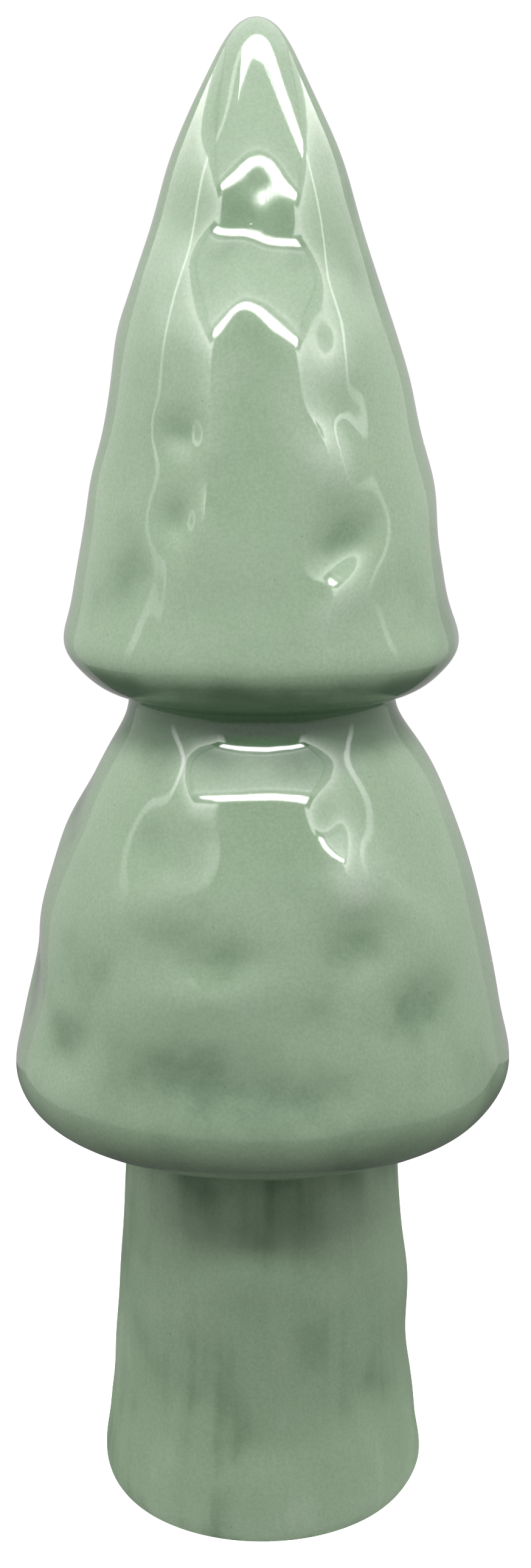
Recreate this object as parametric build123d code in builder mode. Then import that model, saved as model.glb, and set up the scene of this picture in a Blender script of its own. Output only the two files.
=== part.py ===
"""Hollow glazed stoneware figurine: two bell-shaped fir tiers on a flared trunk.

Three hollow cast forms are stacked and luted together with rings of clay slip, fired
as one, and stood on a felt ring. Every form is round about Z. The origin is the centre
of the foot, on the surface that the figurine stands on, and +Z is up.
"""

import os

from build123d import *

# Driving dimensions, in millimetres.
HEIGHT = 300.0
UPPER_RIM_RADIUS = 39.0
LOWER_RIM_RADIUS = 50.7
TRUNK_FOOT_RADIUS = 33.4
NECK_RADIUS = 26.5  # where the upper tier stands on the lower tier
COLLAR_RADIUS = 28.0  # where the lower tier stands on the trunk
WALL = 4.5  # thickness of the cast wall
TIP_THICKNESS = 10.0  # slip gathers in the narrow tip of the mould

# Heights of the joints, and of the widest ring of each form.
FELT_THICKNESS = 1.5
COLLAR_HEIGHT = 85.0
NECK_HEIGHT = 173.5
UPPER_RIM_HEIGHT = 182.0
LOWER_RIM_HEIGHT = 96.0
TRUNK_FOOT_HEIGHT = 9.0

# Joints, foot and felt.
SEAT_DEPTH = 5.5  # how far each tier's floor reaches in past the wall that it stands on
NECK_FILLET = 2.6  # radius of the hollow face of the upper luting ring
COLLAR_FILLET = 3.0
INNER_CORNER = 3.0  # size of the rounding inside, between each floor and its wall
FOOT_RADIUS = 29.0
VENT_RADIUS = 4.0  # lets air out of the hollow form in the kiln
FELT_OUTER_RADIUS = 27.0
FELT_INNER_RADIUS = 9.0

# Outlines, from the top down: the radius and height of the points that a wall goes through.
TIP_SHOULDER = (8.4, HEIGHT - 8)
UPPER_SIDE = [
    (20.5, HEIGHT - 37),
    (31.4, UPPER_RIM_HEIGHT + 38),
    (UPPER_RIM_RADIUS - 3.2, UPPER_RIM_HEIGHT + 17),
    (UPPER_RIM_RADIUS - 1.0, UPPER_RIM_HEIGHT + 6),
    (UPPER_RIM_RADIUS, UPPER_RIM_HEIGHT),
]
UPPER_TURN_IN = (UPPER_RIM_RADIUS - 2.8, NECK_HEIGHT + 4)
LOWER_SIDE = [
    (NECK_RADIUS, NECK_HEIGHT - 3),
    (NECK_RADIUS + 3.8, NECK_HEIGHT - 11),
    (NECK_RADIUS + 11.4, NECK_HEIGHT - 25),
    (LOWER_RIM_RADIUS - 5, LOWER_RIM_HEIGHT + 26),
    (LOWER_RIM_RADIUS - 0.8, LOWER_RIM_HEIGHT + 6),
    (LOWER_RIM_RADIUS, LOWER_RIM_HEIGHT),
]
LOWER_TURN_IN = (LOWER_RIM_RADIUS - 4.5, COLLAR_HEIGHT + 2.4)
LOWER_UNDERSIDE = (COLLAR_RADIUS + 10, COLLAR_HEIGHT)  # where the underside turns level
TRUNK_SIDE = [
    (COLLAR_RADIUS, COLLAR_HEIGHT - 4),
    (COLLAR_RADIUS + 1.6, COLLAR_HEIGHT - 31),
    (COLLAR_RADIUS + 3.4, COLLAR_HEIGHT - 61),
    (TRUNK_FOOT_RADIUS, TRUNK_FOOT_HEIGHT),
]
FOOT_TURN_IN = (TRUNK_FOOT_RADIUS - 1.5, FELT_THICKNESS + 2)

# Directions in an outline.
UP = (0, 1)
DOWN = (0, -1)
INWARD = (-1, 0)
OUTWARD = (1, 0)


def moved_in(points):
    """The points of an outer wall, moved towards the axis by the wall's thickness."""
    return [(radius - WALL, height) for radius, height in points]


def luting_ring(radius, height, fillet_radius):
    """Ring of slip in the corner under a level floor, round an upright wall."""
    with BuildPart() as ring:
        with BuildSketch(Plane.XZ):
            with BuildLine():
                wall_side = Line((radius, height - fillet_radius), (radius, height))
                floor_side = Line(wall_side @ 1, (radius + fillet_radius, height))
                RadiusArc(floor_side @ 1, wall_side @ 0, -fillet_radius)
            make_face()
        revolve(axis=Axis.Z)
    return ring


# Upper tier: the pointed form, closed at its tip and turned in under its rim.
upper_floor = NECK_HEIGHT + WALL
upper_opening = NECK_RADIUS - SEAT_DEPTH
with BuildPart() as upper_tier:
    with BuildSketch(Plane.XZ):
        with BuildLine():
            outside = Spline((0, HEIGHT), TIP_SHOULDER, *UPPER_SIDE, tangents=(OUTWARD, DOWN))
            level_edge = (NECK_RADIUS + NECK_FILLET, NECK_HEIGHT)
            rim = Spline(outside @ 1, UPPER_TURN_IN, level_edge, tangents=(DOWN, INWARD))
            under = Line(rim @ 1, (upper_opening, NECK_HEIGHT))
            lip = Line(under @ 1, (upper_opening, upper_floor))
            floor = Line(lip @ 1, (UPPER_RIM_RADIUS - WALL - INNER_CORNER, upper_floor))
            Spline(floor @ 1, moved_in(UPPER_SIDE)[-1], tangents=(OUTWARD, UP))
            inside = Spline(
                (0, HEIGHT - TIP_THICKNESS),
                (TIP_SHOULDER[0] - WALL, TIP_SHOULDER[1] - WALL),
                *moved_in(UPPER_SIDE),
                tangents=(OUTWARD, DOWN),
            )
            Line(inside @ 0, outside @ 0)
        make_face()
    revolve(axis=Axis.Z)

# Lower tier: the wider bell, open at its neck and turned in under its rim.
lower_floor = COLLAR_HEIGHT + WALL
lower_opening = COLLAR_RADIUS - SEAT_DEPTH
with BuildPart() as lower_tier:
    with BuildSketch(Plane.XZ):
        with BuildLine():
            neck = Line((NECK_RADIUS, NECK_HEIGHT), LOWER_SIDE[0])
            outside = Spline(*LOWER_SIDE, tangents=(DOWN, DOWN))
            rim = Spline(outside @ 1, LOWER_TURN_IN, LOWER_UNDERSIDE, tangents=(DOWN, INWARD))
            under = Line(rim @ 1, (lower_opening, COLLAR_HEIGHT))
            lip = Line(under @ 1, (lower_opening, lower_floor))
            floor = Line(lip @ 1, (LOWER_RIM_RADIUS - WALL - INNER_CORNER, lower_floor))
            Spline(floor @ 1, moved_in(LOWER_SIDE)[-1], tangents=(OUTWARD, UP))
            inside = Spline(*moved_in(LOWER_SIDE), tangents=(DOWN, DOWN))
            inner_neck = Line(inside @ 0, (NECK_RADIUS - WALL, NECK_HEIGHT))
            Line(inner_neck @ 1, neck @ 0)
        make_face()
    revolve(axis=Axis.Z)

# Trunk: a flared tube with a rounded foot and a floor that the vent goes through.
trunk_floor = FELT_THICKNESS + WALL
with BuildPart() as trunk:
    with BuildSketch(Plane.XZ):
        with BuildLine():
            collar = Line((COLLAR_RADIUS, COLLAR_HEIGHT), TRUNK_SIDE[0])
            outside = Spline(*TRUNK_SIDE, tangents=(DOWN, DOWN))
            level_edge = (FOOT_RADIUS, FELT_THICKNESS)
            foot = Spline(outside @ 1, FOOT_TURN_IN, level_edge, tangents=(DOWN, INWARD))
            under = Line(foot @ 1, (VENT_RADIUS, FELT_THICKNESS))
            vent = Line(under @ 1, (VENT_RADIUS, trunk_floor))
            floor = Line(vent @ 1, (TRUNK_FOOT_RADIUS - WALL - INNER_CORNER, trunk_floor))
            Spline(floor @ 1, moved_in(TRUNK_SIDE)[-1], tangents=(OUTWARD, UP))
            inside = Spline(*moved_in(TRUNK_SIDE), tangents=(DOWN, DOWN))
            inner_collar = Line(inside @ 0, (COLLAR_RADIUS - WALL, COLLAR_HEIGHT))
            Line(inner_collar @ 1, collar @ 0)
        make_face()
    revolve(axis=Axis.Z)

# Slip that seals each joint from outside.
neck_luting_ring = luting_ring(NECK_RADIUS, NECK_HEIGHT, NECK_FILLET)
collar_luting_ring = luting_ring(COLLAR_RADIUS, COLLAR_HEIGHT, COLLAR_FILLET)

# Felt ring stuck under the foot, clear of the vent.
with BuildPart() as felt_ring:
    with BuildSketch():
        Circle(FELT_OUTER_RADIUS)
        Circle(FELT_INNER_RADIUS, mode=Mode.SUBTRACT)
    extrude(amount=FELT_THICKNESS)

PIECES = {
    "upper_tier": upper_tier,
    "lower_tier": lower_tier,
    "trunk": trunk,
    "neck_luting_ring": neck_luting_ring,
    "collar_luting_ring": collar_luting_ring,
    "felt_ring": felt_ring,
}

os.makedirs("parts", exist_ok=True)
for name, piece in PIECES.items():
    piece.part.label = name
    export_step(piece.part, f"parts/{name}.step")
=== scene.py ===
"""Looks of a glazed stoneware tree figurine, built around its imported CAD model.

Lengths are in millimetres until a mesh is made, and azimuths are in degrees: 0 faces the
front, which is -Y, and 90 faces +X. Each form is a lathe of a smooth outline, whose
surface is then pressed in and out by one shared relief, as fingers press wet clay.
"""

import math

import bpy
import numpy as np
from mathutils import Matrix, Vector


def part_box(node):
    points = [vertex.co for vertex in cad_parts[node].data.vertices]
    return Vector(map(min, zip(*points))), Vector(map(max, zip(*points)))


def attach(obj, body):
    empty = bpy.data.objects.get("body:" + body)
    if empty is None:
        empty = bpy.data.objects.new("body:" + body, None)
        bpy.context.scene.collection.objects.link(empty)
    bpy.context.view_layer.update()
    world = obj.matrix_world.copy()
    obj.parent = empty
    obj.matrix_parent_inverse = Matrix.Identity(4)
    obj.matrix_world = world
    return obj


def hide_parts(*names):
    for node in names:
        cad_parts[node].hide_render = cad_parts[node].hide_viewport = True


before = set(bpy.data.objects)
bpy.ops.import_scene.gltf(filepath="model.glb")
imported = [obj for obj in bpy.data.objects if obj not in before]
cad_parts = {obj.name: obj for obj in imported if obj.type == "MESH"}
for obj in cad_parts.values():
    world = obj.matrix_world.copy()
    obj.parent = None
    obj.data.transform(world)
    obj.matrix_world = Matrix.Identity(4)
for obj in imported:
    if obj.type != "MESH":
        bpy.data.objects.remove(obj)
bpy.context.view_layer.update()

MM = 0.001

# ------------------------------------------------------------------ sizes from the frame


def box_mm(node):
    """Lowest and highest corner of a CAD node, in millimetres."""
    low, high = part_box(node)
    return low / MM, high / MM


upper_low, upper_high = box_mm("upper_tier")
lower_low, lower_high = box_mm("lower_tier")
trunk_low, trunk_high = box_mm("trunk")
neck_ring_low, neck_ring_high = box_mm("neck_luting_ring")
collar_ring_low, collar_ring_high = box_mm("collar_luting_ring")
felt_low, felt_high = box_mm("felt_ring")

HEIGHT = upper_high.z
NECK_HEIGHT = upper_low.z
COLLAR_HEIGHT = lower_low.z
FOOT_HEIGHT = trunk_low.z
UPPER_RIM_RADIUS = upper_high.x
LOWER_RIM_RADIUS = lower_high.x
TRUNK_FOOT_RADIUS = trunk_high.x
NECK_FILLET = neck_ring_high.z - neck_ring_low.z
NECK_RADIUS = neck_ring_high.x - NECK_FILLET
COLLAR_FILLET = collar_ring_high.z - collar_ring_low.z
COLLAR_RADIUS = collar_ring_high.x - COLLAR_FILLET
UPPER_RIM_HEIGHT = NECK_HEIGHT + 8.5
LOWER_RIM_HEIGHT = COLLAR_HEIGHT + 11
TRUNK_FOOT_TOP = FOOT_HEIGHT + 7.5
WALL = 4.5
TIP_THICKNESS = 10
SEAT_DEPTH = 5.5
INNER_CORNER = 3
VENT_RADIUS = 4
LEVEL_FOOT_RADIUS = 29
FELT_INNER_RADIUS = 9

# -------------------------------------------------------------------------- the camera

CAMERA_DISTANCE = 480
CAMERA_HEIGHT = 270
CAMERA_PITCH = math.radians(13.72)
CAMERA_SIDE_STEP = 0.7
LENS_MM = 56.6


def make_camera():
    data = bpy.data.cameras.new("camera")
    data.sensor_fit = "AUTO"
    data.sensor_width = 36
    data.lens = LENS_MM
    data.clip_start = 0.01
    data.clip_end = 50
    camera = bpy.data.objects.new("camera", data)
    camera.location = (CAMERA_SIDE_STEP * MM, -CAMERA_DISTANCE * MM, CAMERA_HEIGHT * MM)
    camera.rotation_euler = (math.pi / 2 - CAMERA_PITCH, 0, 0)
    bpy.context.scene.collection.objects.link(camera)
    bpy.context.scene.camera = camera


make_camera()

# --------------------------------------------------------------------- outlines of forms

# Each outline runs from the top down: the radius and height of the points it goes through.
UPPER_OUTLINE = [
    (0, HEIGHT),
    (8.2, HEIGHT - 8),
    (20.5, HEIGHT - 37),
    (31.4, UPPER_RIM_HEIGHT + 38),
    (UPPER_RIM_RADIUS - 3.2, UPPER_RIM_HEIGHT + 17),
    (UPPER_RIM_RADIUS - 1, UPPER_RIM_HEIGHT + 6),
    (UPPER_RIM_RADIUS, UPPER_RIM_HEIGHT),
    (UPPER_RIM_RADIUS - 2.8, NECK_HEIGHT + 4),
    (NECK_RADIUS + NECK_FILLET, NECK_HEIGHT),
]
LOWER_OUTLINE = [
    (NECK_RADIUS, NECK_HEIGHT),
    (NECK_RADIUS, NECK_HEIGHT - 3),
    (NECK_RADIUS + 3.8, NECK_HEIGHT - 11),
    (NECK_RADIUS + 11.4, NECK_HEIGHT - 25),
    (LOWER_RIM_RADIUS - 5, LOWER_RIM_HEIGHT + 26),
    (LOWER_RIM_RADIUS - 0.8, LOWER_RIM_HEIGHT + 6),
    (LOWER_RIM_RADIUS, LOWER_RIM_HEIGHT),
    (LOWER_RIM_RADIUS - 4.5, COLLAR_HEIGHT + 2.4),
    (COLLAR_RADIUS + 10, COLLAR_HEIGHT),
]
TRUNK_OUTLINE = [
    (COLLAR_RADIUS, COLLAR_HEIGHT),
    (COLLAR_RADIUS, COLLAR_HEIGHT - 4),
    (COLLAR_RADIUS + 1.6, COLLAR_HEIGHT - 31),
    (COLLAR_RADIUS + 3.4, COLLAR_HEIGHT - 61),
    (TRUNK_FOOT_RADIUS, TRUNK_FOOT_TOP),
    (TRUNK_FOOT_RADIUS - 1.5, FOOT_HEIGHT + 2),
    (LEVEL_FOOT_RADIUS, FOOT_HEIGHT),
]
UP = (0, 1)
DOWN = (0, -1)
INWARD = (-1, 0)
OUTWARD = (1, 0)

RING_SPACING = 0.7  # between the rings of a form's outside
COLUMN_SPACING = 0.65  # along the widest ring
INSIDE_SPACING = 4  # between the rings of the surfaces inside


def cubic_through(points, start, end):
    """Second derivatives and parameters of the cubic spline through points, by chord length."""
    p = np.array(points, float)
    t = np.concatenate([[0], np.cumsum(np.linalg.norm(np.diff(p, axis=0), axis=1))])
    count = len(p)
    gap = np.diff(t)
    matrix = np.zeros((count, count))
    wanted = np.zeros((count, 2))
    slope = np.diff(p, axis=0) / gap[:, None]
    matrix[0, :2] = 2 * gap[0], gap[0]
    wanted[0] = 6 * (slope[0] - np.array(start))
    matrix[-1, -2:] = gap[-1], 2 * gap[-1]
    wanted[-1] = 6 * (np.array(end) - slope[-1])
    for i in range(1, count - 1):
        matrix[i, i - 1 : i + 2] = gap[i - 1], 2 * (gap[i - 1] + gap[i]), gap[i]
        wanted[i] = 6 * (slope[i] - slope[i - 1])
    return p, t, np.linalg.solve(matrix, wanted)


def smooth_line(points, start, end, spacing):
    """Evenly spaced points of a smooth line that leaves and arrives in the given directions."""
    p, t, bend = cubic_through(points, start, end)
    fine = np.linspace(0, t[-1], 4000)
    i = np.clip(np.searchsorted(t, fine, side="right") - 1, 0, len(t) - 2)
    gap = (t[1:] - t[:-1])[i][:, None]
    before = (fine - t[i])[:, None]
    after = gap - before
    line = (
        bend[i] * after**3 / (6 * gap)
        + bend[i + 1] * before**3 / (6 * gap)
        + (p[i] / gap - bend[i] * gap / 6) * after
        + (p[i + 1] / gap - bend[i + 1] * gap / 6) * before
    )
    along = np.concatenate([[0], np.cumsum(np.linalg.norm(np.diff(line, axis=0), axis=1))])
    even = np.linspace(0, along[-1], max(3, round(along[-1] / spacing) + 1))
    return np.stack([np.interp(even, along, line[:, k]) for k in (0, 1)], axis=1)


def straight(start, end, count):
    """Points of a straight line, without its first."""
    share = np.linspace(0, 1, count + 1)[1:, None]
    return np.array(start) * (1 - share) + np.array(end) * share


def moved_in(points):
    """The points of an outer wall, from the bottom up, moved in by the wall's thickness."""
    return [(radius - WALL, height) for radius, height in reversed(points)]


# ------------------------------------------------------------------- relief of the surface

# A waist and a swelling round the upper tier: height of the middle, half height, and how far
# the wall stands out there.
SWELLINGS = [(261, 9, -0.7), (240, 8, 0.45)]

# The tip leans to the left.
TIP_LEAN = -1.0
LEAN_FROM = 215
LEAN_IN_FULL = 250


def lean(height):
    """How far the upper tier leans towards +X at each height."""
    share = np.clip((height - LEAN_FROM) / (LEAN_IN_FULL - LEAN_FROM), 0, 1)
    return TIP_LEAN * share * share * (3 - 2 * share)


# Presses of the front: azimuth, height, half width, half height, turn in degrees, and depth.
# A negative depth stands proud.
FRONT_PRESSES = [
    # Upper tier, from the tip down.
    (8, 294, 1.2, 1.2, 0, 0.1),
    (-36, 283, 3, 8, 0, 0.3),
    (8, 258.5, 30, 7, -14, 0.7),
    (2, 269.5, 4.5, 5.5, 0, 0.5),
    (-6, 249, 3.5, 8, 0, -0.7),
    (-27, 234, 8, 13, 0, -0.9),
    (-17, 236, 5, 11, 0, -0.55),
    (13, 235, 6, 15, 0, -1.0),
    (-5, 235, 3.5, 7, 0, 0.3),
    (31, 237, 4, 6, -15, -1.0),
    (24, 221.5, 4.5, 7, 10, -1.7),
    (-28, 226, 5.5, 4.5, -10, 1.35),
    (-17, 224, 3, 6, 5, -0.8),
    (-28, 210, 5, 4.5, -10, 0.8),
    (-19, 210, 2.5, 5, 0, -0.75),
    (-27, 196, 2.5, 9, 0, -0.45),
    (-44, 200, 7, 9, 10, 0.9),
    (-12, 219, 5, 6, 0, 0.35),
    (27, 206.5, 8, 5.5, 25, 1.4),
    (25, 196.5, 9, 4, 30, -0.9),
    (49, 195, 7, 7, 0, 0.6),
    (-31, 235, 7, 6, 0, 0.6),
    (-53, 215, 7, 8, 0, 0.6),
    (42, 240, 5, 14, 10, -0.5),
    (-40, 245, 4, 14, 0, -0.5),
    (-30, 262, 4, 12, 0, -0.4),
    (34, 262, 4, 12, 0, -0.4),
    (0, 190, 22, 4, 0, -0.3),
    # Lower tier.
    (-4, 158, 20, 5, 3, -0.45),
    (24, 143, 5, 6.5, 10, -1.3),
    (22, 153, 3, 4, 0, 0.3),
    (-26, 156, 4, 9, 10, -0.5),
    (25, 131, 10, 6, 15, 1.3),
    (-11, 129, 9, 5, 0, 0.9),
    (-25, 134, 7, 5, 20, 0.8),
    (-13, 107, 16, 7, 12, 1.2),
    (3, 105, 10, 5, 0, 0.4),
    (39, 118, 9, 6, 15, 1.1),
    (-52, 108, 6, 6, 0, 1.4),
    (-26, 148, 10, 7, 0, 0.75),
    (-29, 137, 8, 6, 0, -0.9),
    (-44, 122, 9, 6, -10, 0.5),
    (-34, 120, 8, 6, 10, -0.35),
    (10, 118, 10, 6, 10, 0.35),
    (12, 103, 9, 5, 10, 0.35),
    (48, 146, 7, 9, 0, 0.45),
    (52, 128, 8, 8, 0, -0.4),
    (-12, 123, 14, 4, 12, -0.5),
    (-47, 136, 7, 9, 0, -0.4),
    (41, 138, 8, 8, 0, -0.5),
    (27, 147, 6, 6, 0, -0.4),
    # Trunk.
    (-6, 52, 8, 5, 0, 0.4),
    (-19, 42, 8, 6, 10, 0.5),
    (0, 23, 9, 5, 0, 0.5),
    (40, 29, 8, 6, 20, 0.5),
    (-26, 32, 9, 5, 0, 0.4),
]

# Presses that show as unevenness of the two edges, from the top down.
EDGE_PRESSES = [
    # Left.
    (-86, 257, 12, 8, 0, -0.4),
    (-86, 215, 12, 7, 0, -0.6),
    (-86, 150, 12, 9, 0, 0.6),
    (-86, 124, 14, 11, 0, -0.45),
    (-86, 101, 12, 6, 0, 0.5),
    (-86, 59, 12, 8, 0, 0.5),
    (-86, 34, 12, 8, 0, -0.6),
    (-86, 15, 12, 5, 0, 0.5),
    # Right.
    (86, 233, 12, 7, 0, -0.5),
    (86, 204, 12, 7, 0, 0.7),
    (86, 158, 12, 8, 0, -0.6),
    (86, 101, 16, 11, 0, -0.4),
    (86, 47, 12, 8, 0, -0.7),
    (86, 15, 12, 5, 0, 0.6),
]

BACK_PRESS_SEED = 11
FRONT_EDGE = 68  # azimuth where the guessed presses of the sides begin
# How many presses each form gets there, and between which heights.
PRESSES_PER_FORM = {"upper": (38, 178, 286), "lower": (44, 92, 160), "trunk": (26, 12, 70)}


def back_presses():
    """Guessed presses on the sides and the back, of the same sizes as in front."""
    random = np.random.default_rng(BACK_PRESS_SEED)
    presses = []
    for count, low, high in PRESSES_PER_FORM.values():
        for _ in range(count):
            azimuth = random.uniform(FRONT_EDGE, 360 - FRONT_EDGE)
            height = random.uniform(low, high)
            across, along = random.uniform(5, 11, 2)
            depth = random.normal(0.1, 0.45)
            presses.append((azimuth, height, across, along, random.uniform(-30, 30), depth))
    return presses


PRESSES = FRONT_PRESSES + EDGE_PRESSES + back_presses()


def relief(azimuth, height, radius):
    """How far the surface stands out of its outline at each point, and the presses alone."""
    pressed = np.zeros_like(height)
    for at, up, across, along, turn, depth in PRESSES:
        away = (azimuth - at + 180) % 360 - 180
        u = np.radians(away) * np.maximum(radius, 6)
        v = height - up
        c, s = math.cos(math.radians(turn)), math.sin(math.radians(turn))
        near = ((u * c + v * s) / across) ** 2 + ((v * c - u * s) / along) ** 2
        pressed -= depth * np.exp(-near)
    out = sum(amount * np.exp(-(((height - at) / reach) ** 2)) for at, reach, amount in SWELLINGS)
    return out + pressed, pressed


# -------------------------------------------------------------------------- mesh building


# How much darker the glaze colour is painted in each place: painted shade under the rims,
# pooled glaze and painted shade in the corners at the neck and collar. Glaze runs off the tip
# and leaves it thin, and painted light makes it paler still.
PAINTED_SHADE_UNDER_UPPER_RIM = 1.6
PAINTED_SHADE_UNDER_LOWER_RIM = 0.5  # and under the turned-in foot
POOL_AND_PAINTED_SHADE_AT_NECK = 1.3
POOL_AND_PAINTED_SHADE_AT_COLLAR = 0.6
THIN_GLAZE_AND_PAINTED_LIGHT_AT_TIP = 0.7


def gathered(outline, outwards):
    """How much each point of a section is darkened by painted shade and pooled glaze, less where
    thin glaze and painted light pale the tip.
    """
    # Painted shade: darker wherever the surface faces down, under the rims and the turned-in
    # foot.
    under = np.clip(-outwards[:, 1], 0, 1) ** 2
    on_upper = outline[:, 1] >= NECK_HEIGHT
    under *= np.where(on_upper, PAINTED_SHADE_UNDER_UPPER_RIM, PAINTED_SHADE_UNDER_LOWER_RIM)
    # Thin glaze and painted light: paler at the tip.
    tip = np.exp(-(((outline[:, 1] - HEIGHT) / 9) ** 2))
    # Pooled glaze and painted shade at the top of the trunk and in the neck corner, under the
    # tiers.
    collar = np.exp(-(((outline[:, 1] - COLLAR_HEIGHT) / 13) ** 2))
    collar *= (outline[:, 0] < COLLAR_RADIUS + 1.5) * (outline[:, 1] <= COLLAR_HEIGHT)
    corner = np.exp(-(((outline[:, 1] - NECK_HEIGHT + 2) / 8) ** 2))
    corner *= outline[:, 0] < NECK_RADIUS + 8
    corner *= POOL_AND_PAINTED_SHADE_AT_NECK
    collar *= POOL_AND_PAINTED_SHADE_AT_COLLAR
    return under + corner + collar - THIN_GLAZE_AND_PAINTED_LIGHT_AT_TIP * tip


def lathe(name, outline, shown, joints, closed_ends):
    """Mesh of a turned form with its relief.

    outline is its section, (radius, height), along which `shown` is 1 where the relief
    applies in full. joints are heights where the relief fades out. closed_ends says that
    the section starts and ends on the axis; otherwise it is a loop.
    """
    columns = 4 * round(math.tau * outline[:, 0].max() / COLUMN_SPACING / 4)
    if closed_ends:
        side = np.gradient(outline, axis=0)
    else:
        side = (np.roll(outline, -1, axis=0) - np.roll(outline, 1, axis=0)) / 2
    side /= np.linalg.norm(side, axis=1)[:, None]
    outwards = np.stack([-side[:, 1], side[:, 0]], axis=1)

    turn = np.linspace(0, math.tau, columns, endpoint=False)
    radius, angle = np.meshgrid(outline[:, 0], turn, indexing="ij")
    height = np.broadcast_to(outline[:, 1:2], radius.shape)
    weight = shown.copy()
    for joint, reach in joints:
        share = np.clip(np.abs(outline[:, 1] - joint) / reach, 0, 1)
        weight *= share * share * (3 - 2 * share)
    out, pressed = relief(np.degrees(angle), height, radius)
    out = out * weight[:, None]
    pressed = pressed * weight[:, None]
    if closed_ends:  # on the axis every column is the same point
        out[0], out[-1] = out[0].mean(), 0
    r = radius + out * outwards[:, 0:1]
    z = height + out * outwards[:, 1:2]
    x = r * np.sin(angle) + lean(height) * weight[:, None]
    y = -r * np.cos(angle)
    points = np.stack([x, y, z], axis=-1) * MM

    rings = len(outline)
    first, last = (1, rings - 1) if closed_ends else (0, rings)
    body = points[first:last].reshape(-1, 3)
    pool = np.broadcast_to(pressed[first:last], (last - first, columns)).reshape(-1)
    index = np.arange((last - first) * columns).reshape(last - first, columns)
    below = index[1:] if closed_ends else np.roll(index, -1, axis=0)
    above = index[:-1] if closed_ends else index
    faces = np.stack(
        [above, below, np.roll(below, -1, axis=1), np.roll(above, -1, axis=1)], axis=-1
    ).reshape(-1, 4).tolist()
    verts = body.tolist()
    pool = pool.tolist()
    if closed_ends:
        for ring, at, flip in ((index[0], 0, False), (index[-1], -1, True)):
            verts.append(points[at, 0].tolist())
            pool.append(0.0)
            pole = len(verts) - 1
            for a, b in zip(ring.tolist(), np.roll(ring, -1).tolist()):
                faces.append((pole, b, a) if flip else (pole, a, b))
    mesh = bpy.data.meshes.new(name)
    mesh.from_pydata(verts, [], faces)
    mesh.update()
    mesh.validate()
    mesh.shade_smooth()
    mesh.set_sharp_from_angle(angle=math.radians(50))
    # Painted shade, pooled glaze and painted light per vertex, for the glaze colour.
    pooling_and_painted_shading_values = np.repeat(gathered(outline, outwards)[first:last], columns).tolist()
    pooling_and_painted_shading_values += [0.0] * (len(verts) - len(pooling_and_painted_shading_values))
    for label, values in (("pressed", pool), ("pooling_and_painted_shading", pooling_and_painted_shading_values)):
        attribute = mesh.attributes.new(label, "FLOAT", "POINT")
        attribute.data.foreach_set("value", np.array(values, np.float32))
    piece = bpy.data.objects.new(name, mesh)
    bpy.context.scene.collection.objects.link(piece)
    return piece


def section(outside, hidden):
    """A form's section: the outside, then the hidden surfaces, and where the relief applies."""
    outline = np.concatenate([outside, hidden])
    shown = np.concatenate([np.ones(len(outside)), np.zeros(len(hidden))])
    fade = 12
    shown[len(outside) - fade : len(outside)] = np.linspace(1, 0, fade)
    return outline, shown


def upper_tier():
    outside = smooth_line(UPPER_OUTLINE, OUTWARD, INWARD, RING_SPACING)
    opening = NECK_RADIUS - SEAT_DEPTH
    floor = NECK_HEIGHT + WALL
    tip = [(UPPER_OUTLINE[1][0] - WALL, UPPER_OUTLINE[1][1] - WALL), (0, HEIGHT - TIP_THICKNESS)]
    inside = smooth_line(moved_in(UPPER_OUTLINE[2:7]) + tip, UP, INWARD, INSIDE_SPACING)
    corner = (inside[0][0] - INNER_CORNER, floor)
    hidden = np.concatenate([
        straight(outside[-1], (opening, NECK_HEIGHT), 8),
        straight((opening, NECK_HEIGHT), (opening, floor), 3),
        straight((opening, floor), corner, 4),
        inside,
    ])
    outline, shown = section(outside, hidden)
    return lathe("upper_tier_glazed", outline, shown, [(NECK_HEIGHT, 5)], True)


def lower_tier():
    outside = smooth_line(LOWER_OUTLINE, DOWN, INWARD, RING_SPACING)
    opening = COLLAR_RADIUS - SEAT_DEPTH
    floor = COLLAR_HEIGHT + WALL
    inside = smooth_line(moved_in(LOWER_OUTLINE[:7]), UP, UP, INSIDE_SPACING)
    corner = (inside[0][0] - INNER_CORNER, floor)
    hidden = np.concatenate([
        straight(outside[-1], (opening, COLLAR_HEIGHT), 8),
        straight((opening, COLLAR_HEIGHT), (opening, floor), 3),
        straight((opening, floor), corner, 4),
        inside,
        straight(inside[-1], outside[0], 4)[:-1],
    ])
    outline, shown = section(outside, hidden)
    return lathe("lower_tier_glazed", outline, shown, [(NECK_HEIGHT, 7)], False)


def trunk():
    outside = smooth_line(TRUNK_OUTLINE, DOWN, INWARD, RING_SPACING)
    floor = FOOT_HEIGHT + WALL
    inside = smooth_line(moved_in(TRUNK_OUTLINE[:5]), UP, UP, INSIDE_SPACING)
    corner = (inside[0][0] - INNER_CORNER, floor)
    hidden = np.concatenate([
        straight(outside[-1], (VENT_RADIUS, FOOT_HEIGHT), 10),
        straight((VENT_RADIUS, FOOT_HEIGHT), (VENT_RADIUS, floor), 3),
        straight((VENT_RADIUS, floor), corner, 6),
        inside,
        straight(inside[-1], outside[0], 4)[:-1],
    ])
    outline, shown = section(outside, hidden)
    return lathe("trunk_glazed", outline, shown, [(COLLAR_HEIGHT, 6)], False)


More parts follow.
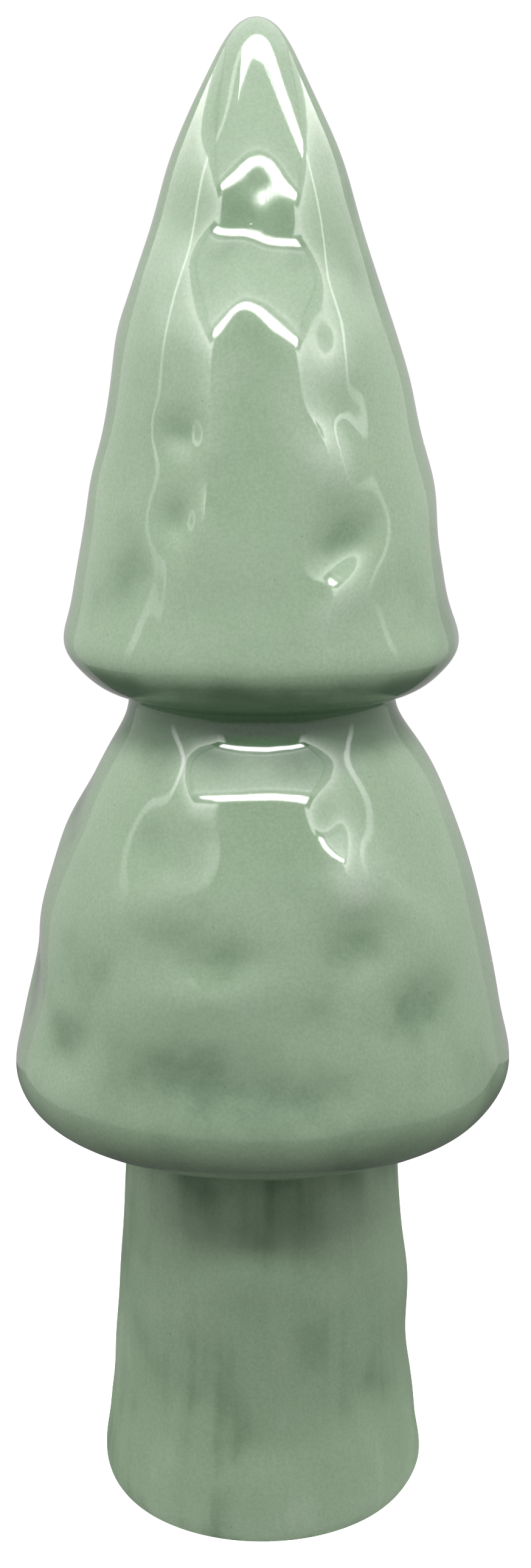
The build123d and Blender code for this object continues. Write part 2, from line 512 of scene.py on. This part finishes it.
def slip_ring(name, radius, height, fillet):
    """Slip smoothed into the corner under a tier, feathered out over both of its sides."""
    feather = 1.2
    proud = 0.03
    low = (radius + proud, height - fillet)
    far = (radius + fillet, height - proud)
    arc = [
        (far[0] - fillet * math.sin(t), low[1] + fillet * math.cos(t) - proud)
        for t in np.linspace(0, math.pi / 2, 14)
    ]
    face = [(far[0] + feather, height + 0.1), *arc, (radius - 0.1, low[1] - feather)]
    inner = [(radius - 1.0, low[1] - feather), (radius - 1.0, height + 1.0),
             (far[0] + feather, height + 1.0)]
    outline = np.array(face + inner)
    return lathe(name, outline, np.zeros(len(outline)), [], False)


def felt_pad():
    """Pressed wool ring with soft edges."""
    outer, inner = felt_high.x, FELT_INNER_RADIUS
    low, high = felt_low.z, felt_high.z
    edge = 0.35
    loop = [
        (outer - edge, high), (outer - 0.1, high - 0.1), (outer, high - edge),
        (outer, low + edge), (outer - 0.1, low + 0.1), (outer - edge, low),
        *[(r, low) for r in np.linspace(outer - 2, inner + 2, 8)],
        (inner + edge, low), (inner + 0.1, low + 0.1), (inner, low + edge),
        (inner, high - edge), (inner + 0.1, high - 0.1), (inner + edge, high),
        *[(r, high) for r in np.linspace(inner + 2, outer - 2, 8)],
    ]
    outline = np.array(loop)
    return lathe("felt_pad", outline, np.zeros(len(outline)), [], False)


# ----------------------------------------------------------------------------- materials


class Nodes:
    """Short calls for building a material's node tree."""

    def __init__(self, name):
        self.material = bpy.data.materials.new(name)
        self.material.use_nodes = True
        self.tree = self.material.node_tree
        self.shader = self.tree.nodes["Principled BSDF"]

    def add(self, kind, settings=None, **inputs):
        node = self.tree.nodes.new(kind)
        for key, value in (settings or {}).items():
            setattr(node, key, value)
        for key, value in inputs.items():
            self.set(node, key.replace("_", " "), value)
        return node

    def set(self, node, socket, value):
        target = node.inputs[int(socket) if socket.isdigit() else socket]
        if isinstance(value, bpy.types.NodeSocket):
            self.tree.links.new(value, target)
        else:
            target.default_value = value

    def math(self, operation, a, b=0.0, clamp=False):
        node = self.add("ShaderNodeMath", {"operation": operation, "use_clamp": clamp})
        self.set(node, "0", a)
        self.set(node, "1", b)
        return node.outputs[0]

    def mix(self, share, a, b):
        node = self.add("ShaderNodeMix", {"data_type": "RGBA", "clamp_factor": True})
        self.set(node, "0", share)
        self.set(node, "6", a)
        self.set(node, "7", b)
        return node.outputs[2]

    def spread(self, value, low, high, to_low=0.0, to_high=1.0):
        node = self.add("ShaderNodeMapRange", {"interpolation_type": "SMOOTHSTEP"})
        for socket, number in enumerate((value, low, high, to_low, to_high)):
            self.set(node, str(socket), number)
        return node.outputs[0]


# The deep colour is thick glaze in dents and also painted shade under the rims and in the
# corners; the thin colour is thin glaze on bumps and also painted light at the tip.
DEEP_GLAZE_AND_PAINTED_SHADE = (0.120, 0.215, 0.118, 1)
GLAZE_MID = (0.362, 0.500, 0.335, 1)
THIN_GLAZE_AND_PAINTED_LIGHT = (0.520, 0.650, 0.495, 1)
SPECK_DARK = (0.100, 0.130, 0.080, 1)


def glaze(name, runs=0.0, roughness=0.07):
    """Translucent celadon glaze: deep in dents and pale where it stands proud, with painted shade
    under the rims and in the corners, and painted light at the tip.
    """
    n = Nodes(name)
    place = n.add("ShaderNodeTexCoord").outputs["Object"]
    pressed = n.add("ShaderNodeAttribute", {"attribute_name": "pressed"}).outputs["Fac"]
    cloud = n.add("ShaderNodeTexNoise", Vector=place, Scale=38.0, Detail=3.0, Roughness=0.5)
    fine = n.add("ShaderNodeTexNoise", Vector=place, Scale=1500.0, Detail=2.0, Roughness=0.6)
    # Painted shade under the rims, pooled glaze and painted shade in the corners, painted light
    # at the tip.
    pooling_and_painted_shading = n.add("ShaderNodeAttribute", {"attribute_name": "pooling_and_painted_shading"}).outputs["Fac"]
    depth = n.math("MULTIPLY", pressed, 0.43)
    depth = n.math("ADD", depth, n.spread(cloud.outputs["Fac"], 0.3, 0.7, -0.2, 0.2))
    mottle = n.add("ShaderNodeTexNoise", Vector=place, Scale=110.0, Detail=2.0)
    depth = n.math("ADD", depth, n.spread(mottle.outputs["Fac"], 0.3, 0.7, -0.08, 0.08))
    depth = n.math("SUBTRACT", depth, pooling_and_painted_shading)
    if runs:
        stretch = n.add("ShaderNodeMapping", Vector=place, Scale=(1, 1, 0.035))
        run = n.add("ShaderNodeTexNoise", Vector=stretch.outputs[0], Scale=260.0, Detail=2.0)
        depth = n.math("ADD", depth, n.spread(run.outputs["Fac"], 0.3, 0.7, -runs, runs))
    colour = n.mix(n.spread(depth, -0.9, 0.0), DEEP_GLAZE_AND_PAINTED_SHADE, GLAZE_MID)
    colour = n.mix(n.spread(depth, 0.0, 0.9), colour, THIN_GLAZE_AND_PAINTED_LIGHT)
    grain = n.spread(fine.outputs["Fac"], 0.25, 0.75, 0.93, 1.07)
    colour = n.add("ShaderNodeVectorMath", {"operation": "SCALE"}, Vector=colour, Scale=grain)
    colour = colour.outputs[0]
    cells = n.add("ShaderNodeTexVoronoi", Vector=place, Scale=420.0, Randomness=1.0)
    chosen = n.add("ShaderNodeTexNoise", Vector=cells.outputs["Position"], Scale=900.0)
    speck = n.math(
        "MULTIPLY",
        n.spread(cells.outputs["Distance"], 0.10, 0.04),
        n.spread(chosen.outputs["Fac"], 0.55, 0.65),
    )
    colour = n.mix(n.math("MULTIPLY", speck, 0.55), colour, SPECK_DARK)
    n.set(n.shader, "Base Color", colour)
    smear = n.spread(cloud.outputs["Fac"], 0.3, 0.7, roughness * 0.85, roughness * 1.2)
    n.set(n.shader, "Roughness", smear)
    n.set(n.shader, "IOR", 1.55)
    ripple = n.add("ShaderNodeTexNoise", Vector=place, Scale=260.0, Detail=1.0)
    height = n.math("SUBTRACT", ripple.outputs["Fac"], n.math("MULTIPLY", speck, 0.8))
    bump = n.add("ShaderNodeBump", Height=height, Strength=0.12, Distance=0.00012)
    n.set(n.shader, "Normal", bump.outputs[0])
    return n.material


def felt():
    """Matt pressed wool."""
    n = Nodes("felt")
    place = n.add("ShaderNodeTexCoord").outputs["Object"]
    fibre = n.add("ShaderNodeTexNoise", Vector=place, Scale=900.0, Detail=4.0, Distortion=2.0)
    tone = n.spread(fibre.outputs["Fac"], 0.3, 0.7)
    n.set(n.shader, "Base Color", n.mix(tone, (0.10, 0.095, 0.085, 1), (0.24, 0.23, 0.205, 1)))
    n.shader.inputs["Roughness"].default_value = 0.95
    n.shader.inputs["Sheen Weight"].default_value = 0.4
    bump = n.add("ShaderNodeBump", Height=fibre.outputs["Fac"], Strength=0.8, Distance=0.0003)
    n.set(n.shader, "Normal", bump.outputs[0])
    return n.material


# ---------------------------------------------------------------------------- the studio

# A light tent: glowing walls and ceiling, two rows of lamps, and an opening in front that
# the picture is taken through. Distances are in millimetres.
TENT_HALF_WIDTH = 285
TENT_TOP = 470
TENT_FRONT = -380
TENT_BACK = 260
OPENING = (-232, 240)  # from left to right
SEAMS = [(-239, -233), (240, 246)]  # of the ceiling, from left to right
HOOP = (-72, -50)  # a bright hoop that crosses the ceiling and comes down both walls

# Brightness by height, or by distance from front to back, of each part of the tent.
WALL_GLOW = [(0, 0.5), (200, 0.9), (320, 1.3), (390, 2.6), (430, 4.0), (470, 7.5)]
FLANGE_GLOW = [(0, 0.5), (200, 0.9), (330, 1.1), (390, 3.5), (430, 5.0), (470, 8.0)]
SHOULDER_GLOW = 2.3  # of the ceiling, beyond its seams
ROOM_GLOW = [(0, 0.5), (200, 0.9), (300, 1.0), (350, 0.6), (400, 0.12)]
HOOP_GLOW = [(0, 0.5), (190, 1.0), (260, 3.0), (350, 6.0), (470, 11.0)]
BACK_GLOW = [(0, 0.4), (470, 0.7)]
CEILING_GLOW = [
    (-290, 1.8), (-274, 2.6), (-264, 6.0), (-252, 3.6), (-200, 2.6), (HOOP[0] - 1, 2.2),
    (HOOP[0], 6.0), (HOOP[1], 6.0), (HOOP[1] + 1, 2.2), (TENT_BACK, 1.5),
]

# Lamp rows: left, right, near and far edge of the row of lamps.
LAMP_ROWS = [(-225, 238, -350, -295), (-120, 250, -110, -55)]
LAMP_GLOW = 40
LAMP_PITCH = 12.5
LAMP_LENGTH = 5.5
LAMP_SLANT = 7


def ramp_along(tree, value, steps):
    """A socket that goes through steps of (value, strength) in straight lines."""
    low, high = steps[0][0], steps[-1][0]
    brightest = max(strength for _, strength in steps)
    share = tree.nodes.new("ShaderNodeMapRange")
    share.inputs["From Min"].default_value = low
    share.inputs["From Max"].default_value = high
    ramp = tree.nodes.new("ShaderNodeValToRGB")
    stops = ramp.color_ramp.elements
    for i, (at, strength) in enumerate(steps):
        where = (at - low) / (high - low)
        if 0 < i < len(steps) - 1:
            stop = stops.new(where)
        else:
            stop = stops[-1 if i else 0]
            stop.position = where
        stop.color = (*[strength / brightest] * 3, 1)
    gain = tree.nodes.new("ShaderNodeMath")
    gain.operation = "MULTIPLY"
    gain.inputs[1].default_value = brightest
    tree.links.new(value, share.inputs["Value"])
    tree.links.new(share.outputs[0], ramp.inputs[0])
    tree.links.new(ramp.outputs[0], gain.inputs[0])
    return gain.outputs[0]


def glowing(name, colour, axis, steps, sampling="NONE"):
    """Emission that goes through steps of (place in millimetres, strength) along an axis."""
    material = bpy.data.materials.new(name)
    material.use_nodes = True
    material.cycles.emission_sampling = sampling
    tree = material.node_tree
    tree.nodes.clear()
    output = tree.nodes.new("ShaderNodeOutputMaterial")
    light = tree.nodes.new("ShaderNodeEmission")
    light.inputs["Color"].default_value = (*colour, 1)
    light.inputs["Strength"].default_value = steps[0][1]
    tree.links.new(light.outputs[0], output.inputs["Surface"])
    if len(steps) > 1:
        place = tree.nodes.new("ShaderNodeNewGeometry")
        split = tree.nodes.new("ShaderNodeSeparateXYZ")
        tree.links.new(place.outputs["Position"], split.inputs[0])
        in_metres = [(at * MM, strength) for at, strength in steps]
        strength = ramp_along(tree, split.outputs[axis], in_metres)
        tree.links.new(strength, light.inputs["Strength"])
    return material


def sheets(name, quads, material, reflected=True):
    """Glowing sheets, in millimetres, that only reflections see, or only diffuse light."""
    mesh = bpy.data.meshes.new(name)
    verts = [tuple(v * MM for v in corner) for quad in quads for corner in quad]
    corners = len(quads[0])
    faces = [tuple(range(corners * i, corners * (i + 1))) for i in range(len(quads))]
    mesh.from_pydata(verts, [], faces)
    sheet = bpy.data.objects.new(name, mesh)
    mesh.materials.append(material)
    bpy.context.scene.collection.objects.link(sheet)
    sheet.visible_camera = False
    sheet.visible_glossy = reflected
    sheet.visible_diffuse = not reflected
    sheet.visible_shadow = False
    sheet.visible_transmission = False


def upright(x0, y0, x1, y1, low=0, high=TENT_TOP):
    return [(x0, y0, low), (x1, y1, low), (x1, y1, high), (x0, y0, high)]


def level(x0, x1, y0, y1, z, slant=0):
    return [(x0, y0, z), (x1, y0, z), (x1 + slant, y1, z), (x0 + slant, y1, z)]


def make_tent():
    w, front, back = TENT_HALF_WIDTH, TENT_FRONT, TENT_BACK
    left, right = OPENING
    room_top = ROOM_GLOW[-1][0]
    fold = w - 4
    ceiling_front = CEILING_GLOW[0][0]
    sheets("tent_walls", [upright(-w, front, -w, back), upright(w, front, w, back)],
           glowing("tent_walls", (1.0, 0.99, 0.97), "Z", WALL_GLOW))
    sheets("tent_flanges", [upright(-w, front, left, front), upright(right, front, w, front)],
           glowing("tent_flanges", (1, 1, 1), "Z", FLANGE_GLOW))
    sheets("room", [upright(left, front, right, front, 0, room_top)],
           glowing("room", (1, 1, 1), "Z", ROOM_GLOW))
    sheets("tent_back", [upright(-w, back, w, back)],
           glowing("tent_back", (1.0, 0.96, 0.98), "Z", BACK_GLOW))
    sheets("tent_hoop", [upright(-fold, HOOP[0], -fold, HOOP[1]),
                         upright(fold, HOOP[0], fold, HOOP[1])],
           glowing("tent_hoop", (1, 1, 1), "Z", HOOP_GLOW))
    sheets("tent_ceiling", [level(-w, w, ceiling_front, back, TENT_TOP)],
           glowing("tent_ceiling", (1, 1, 1), "Y", CEILING_GLOW))
    sheets("tent_shoulders", [level(-w, SEAMS[0][0], ceiling_front, back, TENT_TOP - 2),
                              level(SEAMS[1][1], w, ceiling_front, back, TENT_TOP - 2)],
           glowing("tent_shoulders", (1, 1, 1), "Z", [(0, SHOULDER_GLOW)]))
    sheets("tent_seams", [level(x0, x1, ceiling_front, back, TENT_TOP - 1) for x0, x1 in SEAMS],
           glowing("tent_seams", (1, 1, 1), "Z", [(0, 0.8)]))
    lamps = []
    for left, right, near, far in LAMP_ROWS:
        edge = (far - near) / 6
        z = TENT_TOP - 3
        lamps.append(level(left, right, near + edge, far - edge, z))
        for x in np.arange(left, right - LAMP_LENGTH, LAMP_PITCH):
            lamps.append(level(x, x + LAMP_LENGTH, near, far, z - 1, LAMP_SLANT))
    sheets("lamps", lamps, glowing("lamps", (1, 1, 0.98), "Z", [(0, LAMP_GLOW)]))


# Diffuse light: the tent's walls, its ceiling, the front row of lamps as one soft light,
# and the light that the floor throws back up at the foot.
WALL_LIGHT = (1.05, 0.98)  # left and right
CEILING_LIGHT = 1.5
CEILING_LIGHT_FRONT = -150
BACK_LIGHT = 0.4
FLOOR_BOUNCE = 0.8
FLOOR_BOUNCE_RADIUS = 60
LAMP_WATTS = 1.35
SKY_LIGHT = 0.03
ROOM_IN_REFLECTIONS = 0.12
FLOOR_GLOW = 1.0


def make_diffuse_light():
    w, front, back, r = TENT_HALF_WIDTH, TENT_FRONT, TENT_BACK, FLOOR_BOUNCE_RADIUS
    turn = np.linspace(0, math.tau, 48, endpoint=False)
    panels = [
        ("left_light", upright(-w, front, -w, back), WALL_LIGHT[0]),
        ("right_light", upright(w, front, w, back), WALL_LIGHT[1]),
        ("ceiling_light", level(-w, w, CEILING_LIGHT_FRONT, 0, TENT_TOP), CEILING_LIGHT),
        ("back_light", upright(-w, back, w, back), BACK_LIGHT),
        ("floor_light", [(r * math.cos(t), r * math.sin(t), 0.1) for t in turn], FLOOR_BOUNCE),
    ]
    for name, panel, strength in panels:
        light = glowing(name, (1, 1, 1), "Z", [(0, strength)], "FRONT_BACK")
        sheets(name, [panel], light, reflected=False)
    left, right, near, far = LAMP_ROWS[0]
    data = bpy.data.lights.new("lamp_row", "AREA")
    data.shape = "RECTANGLE"
    data.size = (right - left) * MM
    data.size_y = (far - near) * MM
    data.energy = LAMP_WATTS
    lamp = bpy.data.objects.new("lamp_row", data)
    lamp.location = ((left + right) / 2 * MM, (near + far) / 2 * MM, (TENT_TOP - 3) * MM)
    lamp.visible_camera = False
    lamp.visible_glossy = False
    bpy.context.scene.collection.objects.link(lamp)


def make_world():
    """White behind the object, and dim to reflections and to diffuse light."""
    world = bpy.data.worlds.new("studio")
    bpy.context.scene.world = world
    world.use_nodes = True
    tree = world.node_tree
    tree.nodes.clear()
    new, link = tree.nodes.new, tree.links.new
    rays = new("ShaderNodeLightPath")
    shades = []
    for strength in (1.0, ROOM_IN_REFLECTIONS, SKY_LIGHT):
        shade = new("ShaderNodeBackground")
        shade.inputs["Color"].default_value = (1, 1, 1, 1)
        shade.inputs["Strength"].default_value = strength
        shades.append(shade.outputs[0])
    seen, reflected, sky = shades
    for ray, shade in (("Is Glossy Ray", reflected), ("Is Camera Ray", seen)):
        choice = new("ShaderNodeMixShader")
        link(rays.outputs[ray], choice.inputs[0])
        link(sky, choice.inputs[1])
        link(shade, choice.inputs[2])
        sky = choice.outputs[0]
    output = new("ShaderNodeOutputWorld")
    link(sky, output.inputs["Surface"])


def make_floor():
    mesh = bpy.data.meshes.new("floor")
    half = 6.0
    low = -0.1 * MM
    corners = [(-half, -half, low), (half, -half, low), (half, half, low), (-half, half, low)]
    mesh.from_pydata(corners, [], [(0, 1, 2, 3)])
    floor = bpy.data.objects.new("floor", mesh)
    bpy.context.scene.collection.objects.link(floor)
    n = Nodes("floor")
    n.shader.inputs["Base Color"].default_value = (0.86, 0.86, 0.855, 1)
    n.shader.inputs["Roughness"].default_value = 0.9
    n.shader.inputs["Specular IOR Level"].default_value = 0.0
    n.shader.inputs["Emission Color"].default_value = (1, 1, 1, 1)
    seen = n.add("ShaderNodeLightPath").outputs["Is Camera Ray"]
    n.set(n.shader, "Emission Strength", n.math("MULTIPLY", seen, FLOOR_GLOW))
    n.material.cycles.emission_sampling = "NONE"
    mesh.materials.append(n.material)
    floor.visible_diffuse = False
    floor.visible_glossy = False


# ------------------------------------------------------------------------------- assembly

celadon = glaze("celadon_glaze")
celadon_runs = glaze("celadon_glaze_with_runs", runs=0.13, roughness=0.4)
wool = felt()

PIECES = [
    (upper_tier(), "upper_tier", "celadon_glaze", celadon),
    (lower_tier(), "lower_tier", "celadon_glaze", celadon),
    (trunk(), "trunk", "celadon_glaze", celadon_runs),
    (slip_ring("neck_slip", NECK_RADIUS, NECK_HEIGHT, NECK_FILLET), "neck_luting_ring",
     "celadon_glaze", celadon),
    (slip_ring("collar_slip", COLLAR_RADIUS, COLLAR_HEIGHT, COLLAR_FILLET),
     "collar_luting_ring", "celadon_glaze", celadon_runs),
    (felt_pad(), "felt_ring", "felt", wool),
]
for piece, node, slot, material in PIECES:
    piece.data.materials.append(material)
    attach(piece, "root")
    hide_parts(node)

make_tent()
make_diffuse_light()
make_world()
make_floor()
bpy.context.scene.view_settings.view_transform = "Standard"
